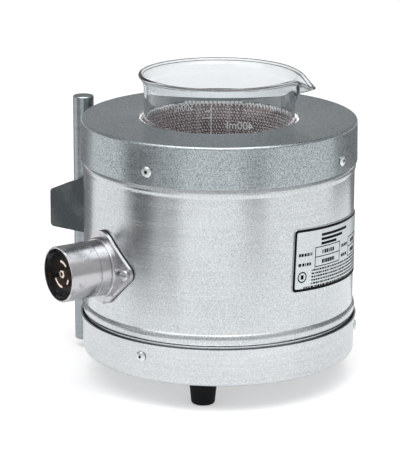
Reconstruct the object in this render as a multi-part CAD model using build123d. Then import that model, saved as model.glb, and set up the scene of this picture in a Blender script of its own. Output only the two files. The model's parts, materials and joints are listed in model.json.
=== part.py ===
"""Stirring mantle: a cylindrical aluminium housing with a heated cloth well for a beaker.

A flat motor under the well turns a pair of magnets, which turn a stir bar in the beaker.
Units are millimetres. The housing axis is Z, and the bench is the plane z = 0.
The name plate is at the front (-Y) and the support rod is at the rear (+Y).
"""
from build123d import *
from math import cos, radians, sin, tan
import os

# Housing
BODY_R = 81.0
SHEET = 1.2
PAN_BOTTOM_Z = 16.2
PAN_LIP_Z = 39.0
PAN_LIP_R = 83.2
PAN_MID_R = 82.2
PAN_FOOT_R = 81.8
PAN_SHEET = 1.0
PAN_CORNER = 2.5
CAP_LOW_Z = 134.0
CAP_TOP_Z = 158.5
CAP_R = 82.5
CAP_SHEET = 1.1
CAP_CORNER = 1.8
OPENING_R = 48.0
SHELL_LOW_Z = 26.5
SHELL_TOP_Z = 152.0
LOWER_BEAD = (40.4, 47.4, 1.25)
UPPER_BEAD = (128.0, 133.4, 0.7)

# Rivets
RIVET_HEAD_R = 3.2
RIVET_HEAD_H = 1.1
RIVET_SHANK_R = 1.6
RIVET_CORE_R = 0.95
RIVET_HOLE_R = 1.7
RIVET_TAIL = 4.2
CAP_RIVET_Z = 141.6
CAP_RIVET_ANGLES = (0, 90, 180, 270)
PAN_RIVET_Z = 30.6
PAN_RIVET_ANGLES = (57, 177, 297)

# Feet, posts and shelf
FOOT_CIRCLE_R = 62.0
FOOT_ANGLES = (-158, -38, 82)
FOOT_TOP_R = 8.5
FOOT_LOW_R = 6.9
FOOT_ROUND = 1.6
FOOT_SCREW_SEAT = 6.5
M4_R = 2.0
M4_HOLE_R = 2.1
M4_HEAD_R = 3.9
M4_HEAD_H = 2.4
POST_FLATS_R = 4.6
SHELF_R = 66.5
SHELF_T = 1.2
SHELF_Z = 49.4
GROMMET_R = 2.6

# Name plate
PLATE_LOW_Z = 67.8
PLATE_TOP_Z = 105.4
PLATE_ANGLE = -91.2
PLATE_TURN = -2.46
PLATE_WIDTH = 76.0
PLATE_T = 0.5
PLATE_CORNER = 1.6

# Beaker, well and insulation
BEAKER_R = 45.0
BEAKER_WALL = 2.0
BEAKER_FLOOR_T = 2.2
BEAKER_LOW_Z = 59.8
BEAKER_HEIGHT = 125.0
BEAKER_CORNER = 8.0
RIM_R = 49.2
RIM_ROLL = 1.2
RIM_DROP = 6.0
SPOUT_ANGLE = -80.0
SPOUT_REACH = 60.0
SPOUT_LIP_R = 12.5
SPOUT_DEPTH = 17.0
WELL_GAP = 1.0
WELL_T = 2.6
WELL_FLOOR_Z = 59.5
WELL_TOP_Z = 157.0
BLANKET_T = 2.0
BLANKET_Z = (68.0, 142.0)
JACKET_T = 14.0
JACKET_TOP_Z = 156.6

# Motor and drive magnets
MOTOR_R = 28.0
MOTOR_WALL = 1.2
MOUNT_H = 2.5
MOTOR_H = 15.0
EAR_SPACING = 68.0
EAR_R = 6.0
SHAFT_R = 3.0
RUNNING_GAP = 0.03
BEARING_R = 6.0
ROTOR_R = 13.0
STATOR_GAP = 0.5
HUB_R = 8.0
HUB_H = 4.4
YOKE_SIZE = (62.0, 14.0, 2.0)
MAGNET_SIZE = (14.0, 13.0, 5.4)
MAGNET_OFFSET = 22.0

# Stir bar
BAR_LENGTH = 38.0
BAR_R = 4.0
BAR_RING_R = 4.5
BAR_RING_W = 3.0
BAR_CORE_R = 2.4
BAR_CORE_LENGTH = 29.0
BAR_GAP = 0.3

# Power inlet
INLET_ANGLE = 154.5
INLET_Z = 78.2
INLET_FACE = 112.5
INLET_SHELL_R = 16.5
INLET_SHELL_WALL = 1.1
INLET_SEAM = 92.9
INLET_REAR = 79.5
FLANGE_HALF_H = 26.6
FLANGE_HALF_W = 28.7
FLANGE_CROWN_ROUND = 12.8
FLANGE_END_ROUND = 6.0
FLANGE_T = 1.7
GASKET_T = 0.7
NECK_R = 17.8
NECK_FRONT = 86.0
INSULATOR_FACE = 101.5
INSULATOR_REAR = 75.5
BLADE_TIP = 110.3
BLADE_TAIL = 73.8
BLADE_R = 7.6
BLADE_T = 1.3
BLADES = ((73, 50), (243, 66), (335, 24))
PIN_R = 2.4
PIN_BORE_R = 1.4
PIN_BORE_END = 90.0
INLET_SCREW_ANGLE = 15.2
INLET_SCREW_HEAD_R = 3.2
INLET_SCREW_HOLE_R = 1.75
INLET_SCREW_HEAD_H = 2.0

# Support rod and its bracket
ROD_R = 6.35
ROD_Y = 96.3
ROD_Z = (5.2, 160.4)
ROD_CHAMFER = 0.5
BRACKET_HALF_W = 9.5
BRACKET_END_Y = 115.2
BRACKET_LOW_Z = 75.8
BRACKET_HIGH_Z = 111.4
BRACKET_END_Z = (77.2, 100.8)
BRACKET_SHOULDER_Y = 90.0
BRACKET_ROUND = 2.6
BOSS_R = 8.0
BOSS_END_X = 15.0
CLAMP_Z = 92.5
CLAMP_R = 3.0
CLAMP_HOLE_R = 3.06
CLAMP_TIP_GAP = 0.35
KNOB_R = 8.5
KNOB_LENGTH = 10.0
KNOB_LOBES = 12

# Wiring
LEAD_R = 1.2
BLOCK_SIZE = (12.0, 40.0, 12.0)
BLOCK_RADIUS = 50.0
DROP_RADIUS = 69.7
BLOCK_ENTRY_RISE = 8.0
GROUND_SIDE = -0.6
GROUND_RADIUS = 66.0
GROUND_SCREW_RISE = 4.6

PAN_FLOOR_Z = PAN_BOTTOM_Z + SHEET
BODY_IN_R = BODY_R - SHEET
WELL_R = BEAKER_R + WELL_GAP
WELL_OUT_R = WELL_R + WELL_T
BLANKET_R = WELL_OUT_R + 0.2
JACKET_R = BLANKET_R + BLANKET_T + 0.2
BEAKER_TOP_Z = BEAKER_LOW_Z + BEAKER_HEIGHT
EAR_PLATE_Z = PAN_FLOOR_Z + MOUNT_H
MOTOR_TOP_Z = EAR_PLATE_Z + MOTOR_H
BEARING_TOP_Z = MOTOR_TOP_Z + 1.0
HUB_Z = BEARING_TOP_Z + 0.5
YOKE_Z = HUB_Z + HUB_H
MAGNET_Z = YOKE_Z + YOKE_SIZE[2]
SHELF_TOP_Z = SHELF_Z + SHELF_T
GASKET_R = BODY_R + 0.05
FLANGE_R = GASKET_R + GASKET_T
FLANGE_OUT_R = FLANGE_R + FLANGE_T
INLET = Plane(
    origin=(0, 0, INLET_Z),
    x_dir=(-sin(radians(INLET_ANGLE)), cos(radians(INLET_ANGLE)), 0),
    z_dir=(cos(radians(INLET_ANGLE)), sin(radians(INLET_ANGLE)), 0),
)


def turned(points):
    """A solid turned about Z from an outline of (radius, height) points."""
    outline = Polyline(*[(r, 0, z) for r, z in points], close=True)
    return revolve(make_face(outline), Axis.Z)


def tube(inner, outer, low, high):
    """A plain ring about Z."""
    return turned([(inner, low), (outer, low), (outer, high), (inner, high)])


def disc(radius, low, high):
    """A plain round plate or pin about Z."""
    return extrude(Plane.XY.offset(low) * Circle(radius), high - low)


def polar(radius, angle):
    """A location at a radius and an angle about Z."""
    return Pos(radius * cos(radians(angle)), radius * sin(radians(angle)), 0)


def radial_plane(angle, z):
    """A plane whose Z points out of the housing at an angle, with its Y up."""
    a = radians(angle)
    return Plane(origin=(0, 0, z), x_dir=(-sin(a), cos(a), 0), z_dir=(cos(a), sin(a), 0))


def radial_holes(angles, z, radius, low=70.0, high=90.0):
    """Round cutters that point out of the housing."""
    return [radial_plane(a, z) * disc(radius, low, high) for a in angles]


def bead_points(wall_r, bead, inward=False):
    """The ends and crown of a rolled bead, from low to high, or from high to low."""
    low, high, crown = bead
    ends = [(wall_r, low), (wall_r + crown, (low + high) / 2), (wall_r, high)]
    return ends[::-1] if inward else ends


def solid_group(shapes):
    """Separate solids kept together in one node."""
    return Compound(children=[s for shape in shapes for s in shape.solids()])


def body_shell():
    """The rolled wall of the housing, with a bead near each end."""
    inner_r = BODY_R - SHEET
    low_out = bead_points(BODY_R, LOWER_BEAD)
    top_out = bead_points(BODY_R, UPPER_BEAD)
    top_in = bead_points(inner_r, UPPER_BEAD, inward=True)
    low_in = bead_points(inner_r, LOWER_BEAD, inward=True)
    edges = []
    corner = (BODY_R, SHELL_LOW_Z)
    for bead in (low_out, top_out):
        edges.append(Line((corner[0], 0, corner[1]), (bead[0][0], 0, bead[0][1])))
        edges.append(ThreePointArc(*[(r, 0, z) for r, z in bead]))
        corner = bead[2]
    edges.append(Polyline((corner[0], 0, corner[1]), (BODY_R, 0, SHELL_TOP_Z), (inner_r, 0, SHELL_TOP_Z)))
    corner = (inner_r, SHELL_TOP_Z)
    for bead in (top_in, low_in):
        edges.append(Line((corner[0], 0, corner[1]), (bead[0][0], 0, bead[0][1])))
        edges.append(ThreePointArc(*[(r, 0, z) for r, z in bead]))
        corner = bead[2]
    edges.append(Polyline((corner[0], 0, corner[1]), (inner_r, 0, SHELL_LOW_Z), (BODY_R, 0, SHELL_LOW_Z)))
    shell = revolve(make_face(edges), Axis.Z)
    shell -= radial_holes(CAP_RIVET_ANGLES, CAP_RIVET_Z, RIVET_HOLE_R)
    shell -= radial_holes(PAN_RIVET_ANGLES, PAN_RIVET_Z, RIVET_HOLE_R)
    shell -= INLET * disc(INLET_SHELL_R + 0.5, 70, 90)
    shell -= [plane * disc(INLET_SCREW_HOLE_R, 70, 90) for plane in inlet_screw_planes()]
    shell -= [Pos(0, 0, z) * Rot(-90, 0, 0) * disc(M4_HOLE_R, 70, 90) for z in bracket_screw_heights()]
    return shell


def base_pan():
    """The pressed pan that closes the housing below."""
    lip_mid_z = PAN_LIP_Z - 6.0
    low_z = PAN_BOTTOM_Z + PAN_CORNER
    outer = [(0, PAN_BOTTOM_Z), (PAN_FOOT_R, PAN_BOTTOM_Z), (PAN_MID_R, lip_mid_z), (PAN_LIP_R, PAN_LIP_Z)]
    inner = [(PAN_LIP_R - PAN_SHEET, PAN_LIP_Z), (PAN_MID_R - PAN_SHEET, lip_mid_z)]
    inner += [(PAN_FOOT_R - PAN_SHEET, low_z), (PAN_FOOT_R - PAN_SHEET, PAN_FLOOR_Z), (0, PAN_FLOOR_Z)]
    pan = turned(outer + inner)
    rim = pan.edges().filter_by(GeomType.CIRCLE).filter_by_position(Axis.Z, PAN_BOTTOM_Z, PAN_BOTTOM_Z)
    pan = fillet(rim.sort_by(SortBy.RADIUS)[-1], PAN_CORNER)
    pan -= radial_holes(PAN_RIVET_ANGLES, PAN_RIVET_Z, RIVET_HOLE_R)
    pan -= [polar(FOOT_CIRCLE_R, a) * disc(M4_HOLE_R, 10, 25) for a in FOOT_ANGLES]
    pan -= [Pos(x, 0, 0) * disc(M4_HOLE_R, 10, 25) for x in (-EAR_SPACING / 2, EAR_SPACING / 2)]
    pan -= ground_location() * disc(M4_HOLE_R, 10, 25)
    return pan


def top_cap():
    """The pressed top, with the opening for the beaker."""
    in_r = CAP_R - CAP_SHEET
    under_z = CAP_TOP_Z - CAP_SHEET
    cap = turned([
        (OPENING_R, CAP_TOP_Z), (CAP_R - 0.3, CAP_TOP_Z), (CAP_R, CAP_LOW_Z),
        (in_r, CAP_LOW_Z), (in_r - 0.3, under_z), (OPENING_R, under_z),
    ])
    tops = cap.edges().filter_by(GeomType.CIRCLE).filter_by_position(Axis.Z, CAP_TOP_Z, CAP_TOP_Z)
    rims = tops.sort_by(SortBy.RADIUS)
    cap = fillet(rims[-1], CAP_CORNER)
    cap -= radial_holes(CAP_RIVET_ANGLES, CAP_RIVET_Z, RIVET_HOLE_R)
    return cap


def rivets(angles, z, seat_r):
    """Blind rivets with a domed head, a hollow core and a set tail."""
    tail_z = seat_r - RIVET_TAIL
    profile = [
        (RIVET_CORE_R, tail_z), (RIVET_SHANK_R, tail_z), (RIVET_SHANK_R, seat_r),
        (RIVET_HEAD_R, seat_r), (RIVET_HEAD_R, seat_r + 0.3),
        (RIVET_HEAD_R * 0.72, seat_r + RIVET_HEAD_H * 0.82), (RIVET_CORE_R * 1.3, seat_r + RIVET_HEAD_H),
        (RIVET_CORE_R, seat_r + RIVET_HEAD_H),
    ]
    return solid_group([radial_plane(a, z) * turned(profile) for a in angles])


def foot():
    """A rubber foot, tapered and rounded below, with a deep hole for its screw."""
    outer = [(0, 0), (FOOT_LOW_R, 0), (FOOT_TOP_R, PAN_BOTTOM_Z), (0, PAN_BOTTOM_Z)]
    shape = turned(outer)
    low = shape.edges().filter_by(GeomType.CIRCLE).sort_by(Axis.Z)[0]
    shape = fillet(low, FOOT_ROUND)
    shape -= disc(M4_HEAD_R + 0.4, -1, FOOT_SCREW_SEAT)
    shape -= disc(M4_HOLE_R, -1, PAN_BOTTOM_Z + 1)
    return shape


def machine_screw(seat_z, tip_z, head_r=M4_HEAD_R, head_h=M4_HEAD_H, shank_r=M4_R):
    """A round-headed screw along Z: the head sits outside the seat, away from the tip."""
    out = -1 if tip_z > seat_z else 1
    head_z = sorted((seat_z, seat_z + out * head_h))
    shank_z = sorted((seat_z, tip_z))
    head = disc(head_r, *head_z)
    rim = head.edges().filter_by(GeomType.CIRCLE).sort_by(Axis.Z)[0 if out < 0 else -1]
    head = fillet(rim, head_h * 0.45)
    slot_z = seat_z + out * head_h
    slot = Pos(0, 0, slot_z) * Box(head_r * 2.4, head_r * 0.28, head_h * 0.8)
    return head + disc(shank_r, *shank_z) - slot


def hex_bar(flats_r, low, high, hole_r):
    """A hexagonal post or nut about Z, with a round hole through it."""
    shape = Pos(0, 0, low) * extrude(RegularPolygon(flats_r, 6, major_radius=False), high - low)
    return shape - disc(hole_r, low - 1, high + 1)


def shelf():
    """The steel plate that carries the well above the motor."""
    plate = disc(SHELF_R, SHELF_Z, SHELF_TOP_Z)
    plate -= [polar(FOOT_CIRCLE_R, a) * disc(M4_HOLE_R, SHELF_Z - 1, SHELF_TOP_Z + 1) for a in FOOT_ANGLES]
    plate -= [loc * disc(GROMMET_R - 0.6, SHELF_Z - 1, SHELF_TOP_Z + 1) for loc in heater_lead_locations()]
    return plate


def lead_grommets():
    """Rubber rings that line the two lead holes in the shelf."""
    ring = turned([
        (LEAD_R, SHELF_Z - 1), (GROMMET_R, SHELF_Z - 1), (GROMMET_R, SHELF_Z),
        (GROMMET_R - 0.6, SHELF_Z), (GROMMET_R - 0.6, SHELF_TOP_Z), (LEAD_R, SHELF_TOP_Z),
    ])
    return solid_group([loc * ring for loc in heater_lead_locations()])


def curved_plate(angle, z, outline, inner_r, outer_r):
    """A plate cut to an outline and wrapped on the housing wall."""
    block = radial_plane(angle, z) * Pos(0, 0, 60) * extrude(outline, 40)
    return block & tube(inner_r, outer_r, z - 60, z + 60)


def name_plate():
    """The thin aluminium plate at the front."""
    half = BODY_R * sin(PLATE_WIDTH / 2 / BODY_R)
    height = PLATE_TOP_Z - PLATE_LOW_Z
    outline = Rot(0, 0, PLATE_TURN) * RectangleRounded(2 * half, height, PLATE_CORNER)
    return curved_plate(PLATE_ANGLE, PLATE_LOW_Z + height / 2, outline, GASKET_R, GASKET_R + PLATE_T)


def flange_outline(inset=0.0):
    """The diamond of the inlet's flange, well rounded above and below and tighter at its two ends."""
    w = FLANGE_HALF_W - inset * 1.5
    h = FLANGE_HALF_H - inset * 1.4
    diamond = make_face(Polyline((w, 0), (0, h), (-w, 0), (0, -h), close=True))
    crowns = diamond.vertices().sort_by(Axis.Y)
    outline = fillet([crowns[0], crowns[-1]], FLANGE_CROWN_ROUND)
    ends = outline.vertices().sort_by(Axis.X)
    return fillet([ends[0], ends[-1]], FLANGE_END_ROUND)


def inlet_flange():
    """The curved flange with the neck that holds the inlet's shell."""
    plate = curved_plate(INLET_ANGLE, INLET_Z, flange_outline(), FLANGE_R, FLANGE_OUT_R)
    neck = INLET * disc(NECK_R, FLANGE_R - 4, NECK_FRONT) - disc(FLANGE_R, 0, 200)
    front = neck.edges().filter_by(GeomType.CIRCLE)
    neck = fillet(front, 0.8)
    flange = plate + neck
    flange -= INLET * disc(INLET_SHELL_R, 60, 120)
    flange -= [plane * disc(INLET_SCREW_HOLE_R, 70, 90) for plane in inlet_screw_planes()]
    return flange


def inlet_gasket():
    """The rubber seal between the flange and the housing wall."""
    plate = curved_plate(INLET_ANGLE, INLET_Z, flange_outline(0.5), GASKET_R, FLANGE_R)
    plate -= INLET * disc(INLET_SHELL_R, 60, 120)
    plate -= [plane * disc(INLET_SCREW_HOLE_R, 70, 90) for plane in inlet_screw_planes()]
    return plate


def inlet_shell():
    """The round metal shell around the contacts, with a seam groove and a thin rim."""
    in_r = INLET_SHELL_R - INLET_SHELL_WALL
    profile = [
        (in_r, INLET_REAR), (INLET_SHELL_R, INLET_REAR),
        (INLET_SHELL_R, INLET_SEAM - 0.4), (INLET_SHELL_R - 0.35, INLET_SEAM - 0.2),
        (INLET_SHELL_R - 0.35, INLET_SEAM + 0.2), (INLET_SHELL_R, INLET_SEAM + 0.4),
        (INLET_SHELL_R, INLET_FACE - 0.5), (INLET_SHELL_R - 0.4, INLET_FACE), (in_r, INLET_FACE),
    ]
    return INLET * turned(profile)


def blade(angle, span):
    """One curved contact blade in the inlet's own frame."""
    ring = tube(BLADE_R - BLADE_T / 2, BLADE_R + BLADE_T / 2, BLADE_TAIL, BLADE_TIP)
    reach = BLADE_R * 2
    a, b = radians(angle - span / 2), radians(angle + span / 2)
    corners = [(0, 0), (reach * cos(a), reach * sin(a)), (reach * cos(b), reach * sin(b))]
    wedge = make_face(Polyline(*corners, close=True))
    return ring & Pos(0, 0, BLADE_TAIL - 1) * extrude(wedge, BLADE_TIP - BLADE_TAIL + 2)


def inlet_blades():
    """The three curved contact blades."""
    return solid_group([INLET * blade(a, s) for a, s in BLADES])


def inlet_pin():
    """The hollow centre pin for the ground contact."""
    hollow_end = turned([
        (PIN_BORE_R, PIN_BORE_END), (PIN_R, PIN_BORE_END), (PIN_R, BLADE_TIP - 0.4),
        (PIN_R - 0.4, BLADE_TIP), (PIN_BORE_R, BLADE_TIP),
    ])
    return INLET * hollow_end + INLET * disc(PIN_R, BLADE_TAIL, PIN_BORE_END)


def inlet_insulator():
    """The moulded core that carries the blades and the pin."""
    core = disc(INLET_SHELL_R - INLET_SHELL_WALL, INLET_REAR, INSULATOR_FACE)
    core += disc(INLET_SHELL_R - 2.5, INSULATOR_REAR, INLET_REAR)
    core -= [blade(a, s) for a, s in BLADES]
    core -= disc(PIN_R, INSULATOR_REAR - 1, INSULATOR_FACE + 1)
    return INLET * core


def inlet_screw_planes():
    """The two screw axes of the flange, which stand square to its curved face."""
    return [radial_plane(INLET_ANGLE + s * INLET_SCREW_ANGLE, INLET_Z) for s in (-1, 1)]


def inlet_screws():
    """The two round-headed screws of the inlet's flange."""
    screw = machine_screw(
        FLANGE_OUT_R + 0.05, BODY_IN_R - 5, INLET_SCREW_HEAD_R, INLET_SCREW_HEAD_H, INLET_SCREW_HOLE_R - 0.1
    )
    return solid_group([plane * screw for plane in inlet_screw_planes()])


def inlet_nuts():
    """The nuts behind the housing wall."""
    nut = hex_bar(3.2, BODY_IN_R - 3.2, BODY_IN_R - 0.3, INLET_SCREW_HOLE_R - 0.1)
    return solid_group([plane * nut for plane in inlet_screw_planes()])


def bracket_screw_heights():
    """The heights of the two screws that hold the rod's bracket."""
    return (BRACKET_LOW_Z + 7, BRACKET_HIGH_Z - 7)


def rod_bracket():
    """The cast bracket that holds the support rod, with a boss for the clamp screw."""
    end_low, end_high = BRACKET_END_Z
    side = make_face(Polyline(
        (BODY_R - 6, BRACKET_LOW_Z), (BRACKET_END_Y, end_low), (BRACKET_END_Y, end_high),
        (BRACKET_SHOULDER_Y, BRACKET_HIGH_Z), (BODY_R - 6, BRACKET_HIGH_Z), close=True,
    ))
    corners = [v for v in side.vertices() if v.X > BRACKET_END_Y - 1]
    side = fillet(corners, BRACKET_ROUND)
    frame = Plane(origin=(-BRACKET_HALF_W, 0, 0), x_dir=(0, 1, 0), z_dir=(1, 0, 0))
    block = frame * extrude(side, 2 * BRACKET_HALF_W)
    block += Pos(0, ROD_Y, CLAMP_Z) * Rot(0, 90, 0) * disc(BOSS_R, 0, BOSS_END_X)
    block -= disc(BODY_R + 0.05, 0, 200)
    block -= Pos(0, ROD_Y, 0) * disc(ROD_R + RUNNING_GAP, 0, 200)
    block -= Pos(0, ROD_Y, CLAMP_Z) * Rot(0, 90, 0) * disc(CLAMP_HOLE_R, 0, BOSS_END_X + 1)
    block -= [Pos(0, 0, z) * Rot(-90, 0, 0) * disc(M4_R, 70, 87.5) for z in bracket_screw_heights()]
    return block


def bracket_screws():
    """The two screws of the bracket, driven from inside the housing."""
    screw = machine_screw(BODY_IN_R - 0.1, 87.0)
    return solid_group([Pos(0, 0, z) * Rot(-90, 0, 0) * screw for z in bracket_screw_heights()])


def support_rod():
    """The half-inch rod that carries clamps and other fittings."""
    low, high = ROD_Z
    rod = Pos(0, ROD_Y, 0) * disc(ROD_R, low, high)
    return chamfer(rod.edges().filter_by(GeomType.CIRCLE), ROD_CHAMFER)


def clamp_screw():
    """The thumbscrew that holds the rod, with a grooved knob."""
    knob_z = BOSS_END_X + 0.4
    knob = disc(KNOB_R, knob_z, knob_z + KNOB_LENGTH)
    grip = Pos(KNOB_R + 0.6, 0, 0) * disc(1.5, knob_z - 1, knob_z + KNOB_LENGTH + 1)
    knob -= [Rot(0, 0, 360 / KNOB_LOBES * i) * grip for i in range(KNOB_LOBES)]
    screw = knob + disc(CLAMP_R, ROD_R + CLAMP_TIP_GAP, knob_z + 1)
    return Pos(0, ROD_Y, CLAMP_Z) * Rot(0, 90, 0) * screw


def rounded_cup(radius, low, high, corner):
    """The solid space of a round cup with a rounded lower corner."""
    shape = disc(radius, low, high)
    edge = shape.edges().filter_by(GeomType.CIRCLE).sort_by(Axis.Z)[0]
    return fillet(edge, corner)


def beaker():
    """The low-form glass beaker, with a flared rim and a pouring spout."""
    top = BEAKER_TOP_Z
    inner_r = BEAKER_R - BEAKER_WALL
    outer = rounded_cup(BEAKER_R, BEAKER_LOW_Z, top - RIM_DROP, BEAKER_CORNER)
    outer += turned([
        (0, top - RIM_DROP), (BEAKER_R, top - RIM_DROP), (RIM_R - 0.8, top - 1.6), (RIM_R, top - 1.0),
        (RIM_R - 0.4, top), (0, top),
    ])
    inner = rounded_cup(inner_r, BEAKER_LOW_Z + BEAKER_FLOOR_T, top - RIM_DROP, BEAKER_CORNER - BEAKER_WALL)
    inner += turned([(0, top - RIM_DROP), (inner_r, top - RIM_DROP), (RIM_R - RIM_ROLL - 1.4, top), (0, top)])
    tip = SPOUT_REACH - SPOUT_LIP_R
    spout_low = top - SPOUT_DEPTH
    cone = turned([(0, spout_low), (1.8, spout_low), (SPOUT_LIP_R, top), (0, top)])
    hollow_low = spout_low + 2
    hollow = turned([(0, hollow_low), (0.4, hollow_low), (SPOUT_LIP_R - 1.8, top + 0.1), (0, top + 0.1)])
    place = Rot(0, 0, SPOUT_ANGLE) * Pos(tip, 0, 0)
    glass = outer + place * cone
    glass -= inner
    glass -= place * hollow
    glass -= Rot(0, 0, SPOUT_ANGLE) * Pos(SPOUT_REACH, 0, top + 5) * Rot(0, 14, 0) * Box(24, 40, 10)
    return glass


def stir_bar_core():
    """The bar magnet sealed inside the stir bar."""
    return bar_location() * disc(BAR_CORE_R, -BAR_CORE_LENGTH / 2, BAR_CORE_LENGTH / 2)


def stir_bar_jacket():
    """The smooth white jacket of the stir bar, with a pivot ring around its middle."""
    bar = disc(BAR_R, -BAR_LENGTH / 2, BAR_LENGTH / 2)
    bar = fillet(bar.edges().filter_by(GeomType.CIRCLE), BAR_R * 0.8)
    bar += disc(BAR_RING_R, -BAR_RING_W / 2, BAR_RING_W / 2)
    bar -= disc(BAR_CORE_R, -BAR_CORE_LENGTH / 2, BAR_CORE_LENGTH / 2)
    return bar_location() * bar


def bar_location():
    """The stir bar's place: lying on the beaker's floor, along the yoke."""
    z = BEAKER_LOW_Z + BEAKER_FLOOR_T + BAR_RING_R + BAR_GAP
    return Pos(0, 0, z) * Rot(0, 90, 0)


def fabric_well():
    """The knitted glass-cloth cup that the beaker stands in."""
    outer = rounded_cup(WELL_OUT_R, WELL_FLOOR_Z - WELL_T, WELL_TOP_Z, BEAKER_CORNER + 2)
    inner = rounded_cup(WELL_R, WELL_FLOOR_Z, WELL_TOP_Z + 1, BEAKER_CORNER - 0.5)
    return outer - inner


def heating_blanket():
    """The band with the resistance wire, wrapped around the cloth cup."""
    return tube(BLANKET_R, BLANKET_R + BLANKET_T, *BLANKET_Z)


def insulation_jacket():
    """The thick glass-wool ring around the heater, with pockets for the shelf screws."""
    ring = tube(JACKET_R, JACKET_R + JACKET_T, SHELF_TOP_Z, JACKET_TOP_Z)
    pocket = disc(M4_HEAD_R + 0.6, SHELF_TOP_Z - 1, SHELF_TOP_Z + M4_HEAD_H + 0.6)
    ring -= [polar(FOOT_CIRCLE_R, a) * pocket for a in FOOT_ANGLES]
    return ring


def insulation_pad():
    """The glass-wool pad under the cloth cup."""
    return disc(WELL_OUT_R - 2, SHELF_TOP_Z, WELL_FLOOR_Z - WELL_T)


def motor_end_plate():
    """The motor's lower plate, with two ears for its screws."""
    plate = disc(MOTOR_R, EAR_PLATE_Z, EAR_PLATE_Z + MOTOR_WALL)
    plate += Pos(0, 0, EAR_PLATE_Z + MOTOR_WALL / 2) * Box(EAR_SPACING, 2 * EAR_R, MOTOR_WALL)
    for x in (-EAR_SPACING / 2, EAR_SPACING / 2):
        plate += Pos(x, 0, 0) * disc(EAR_R, EAR_PLATE_Z, EAR_PLATE_Z + MOTOR_WALL)
        plate -= Pos(x, 0, 0) * disc(M4_HOLE_R, EAR_PLATE_Z - 1, EAR_PLATE_Z + 4)
    plate -= disc(BEARING_R, EAR_PLATE_Z - 1, EAR_PLATE_Z + 4)
    return plate


def motor_can():
    """The motor's cup-shaped case."""
    low = EAR_PLATE_Z + MOTOR_WALL
    can = disc(MOTOR_R, low, MOTOR_TOP_Z)
    can = fillet(can.edges().filter_by(GeomType.CIRCLE).sort_by(Axis.Z)[-1], 1.5)
    can -= disc(MOTOR_R - MOTOR_WALL, low - 1, MOTOR_TOP_Z - MOTOR_WALL)
    can -= disc(BEARING_R, MOTOR_TOP_Z - 3, MOTOR_TOP_Z + 1)
    can -= [place * disc(LEAD_R + 0.2, 20, 35) for place in motor_lead_planes()]
    return can


def motor_bearings():
    """The two bronze bushes that carry the shaft."""
    bore = SHAFT_R + RUNNING_GAP
    low = tube(bore, BEARING_R, EAR_PLATE_Z, EAR_PLATE_Z + 3)
    top = tube(bore, BEARING_R, MOTOR_TOP_Z - 2.6, BEARING_TOP_Z)
    return solid_group([low, top])


def motor_stator():
    """The ring of laminations and coils inside the motor."""
    return tube(ROTOR_R + STATOR_GAP, MOTOR_R - MOTOR_WALL, EAR_PLATE_Z + 3, MOTOR_TOP_Z - 3)


def motor_rotor():
    """The magnet drum on the motor's shaft."""
    return tube(SHAFT_R, ROTOR_R, EAR_PLATE_Z + 3.4, MOTOR_TOP_Z - 3.2)


def motor_shaft():
    """The shaft that turns in the two bushes and carries the hub."""
    return disc(SHAFT_R, EAR_PLATE_Z + 0.3, YOKE_Z - 0.2)


def magnet_hub():
    """The turned hub that holds the yoke on the shaft."""
    hub = tube(SHAFT_R, HUB_R, HUB_Z, YOKE_Z)
    return hub - Pos(0, 0, HUB_Z + HUB_H / 2) * Rot(0, 90, 0) * disc(1.5, 0, HUB_R + 1)


def hub_set_screw():
    """The grub screw that locks the hub on the shaft."""
    screw = disc(1.5, SHAFT_R, HUB_R - 0.4) - Pos(0, 0, HUB_R - 0.4) * Box(4, 0.5, 1.2)
    return Pos(0, 0, HUB_Z + HUB_H / 2) * Rot(0, 90, 0) * screw


def magnet_yoke():
    """The soft-iron bar that joins the two drive magnets."""
    length, width, thickness = YOKE_SIZE
    bar = Pos(0, 0, YOKE_Z + thickness / 2) * Box(length, width, thickness)
    return fillet(bar.edges().filter_by(Axis.Z), 3)


def drive_magnets():
    """The two block magnets."""
    length, width, height = MAGNET_SIZE
    block = Pos(0, 0, MAGNET_Z + height / 2) * Box(length, width, height)
    block = chamfer(block.edges().filter_by(Axis.Z), 0.8)
    return solid_group([Pos(x, 0, 0) * block for x in (-MAGNET_OFFSET, MAGNET_OFFSET)])


def motor_mounts():
    """The two rubber pads under the motor's ears."""
    pad = tube(M4_HOLE_R, EAR_R - 0.5, PAN_FLOOR_Z, EAR_PLATE_Z)
    return solid_group([Pos(x, 0, 0) * pad for x in (-EAR_SPACING / 2, EAR_SPACING / 2)])


def motor_screws():
    """The motor's two screws, driven from under the pan."""
    screw = machine_screw(PAN_BOTTOM_Z, EAR_PLATE_Z + 6)
    return solid_group([Pos(x, 0, 0) * screw for x in (-EAR_SPACING / 2, EAR_SPACING / 2)])


def motor_nuts():
    """The nuts on the motor's ears."""
    nut_z = EAR_PLATE_Z + MOTOR_WALL
    nut = hex_bar(3.5, nut_z, nut_z + 3.2, M4_R)
    return solid_group([Pos(x, 0, 0) * nut for x in (-EAR_SPACING / 2, EAR_SPACING / 2)])


def standoff_posts():
    """The hexagonal posts between the pan and the shelf."""
    post = hex_bar(POST_FLATS_R, PAN_FLOOR_Z, SHELF_Z, M4_R)
    return solid_group([polar(FOOT_CIRCLE_R, a) * post for a in FOOT_ANGLES])


def foot_screws():
    """The screws that hold the feet, the pan and the posts together."""
    screw = machine_screw(FOOT_SCREW_SEAT, PAN_FLOOR_Z + 9)
    return solid_group([polar(FOOT_CIRCLE_R, a) * screw for a in FOOT_ANGLES])


def shelf_screws():
    """The screws that hold the shelf on the posts."""
    screw = machine_screw(SHELF_TOP_Z, SHELF_Z - 8)
    return solid_group([polar(FOOT_CIRCLE_R, a) * screw for a in FOOT_ANGLES])


def terminal_location():
    """The place of the terminal block, on the pan's floor below the inlet."""
    return Rot(0, 0, INLET_ANGLE) * Pos(BLOCK_RADIUS, 0, PAN_FLOOR_Z)


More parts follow.
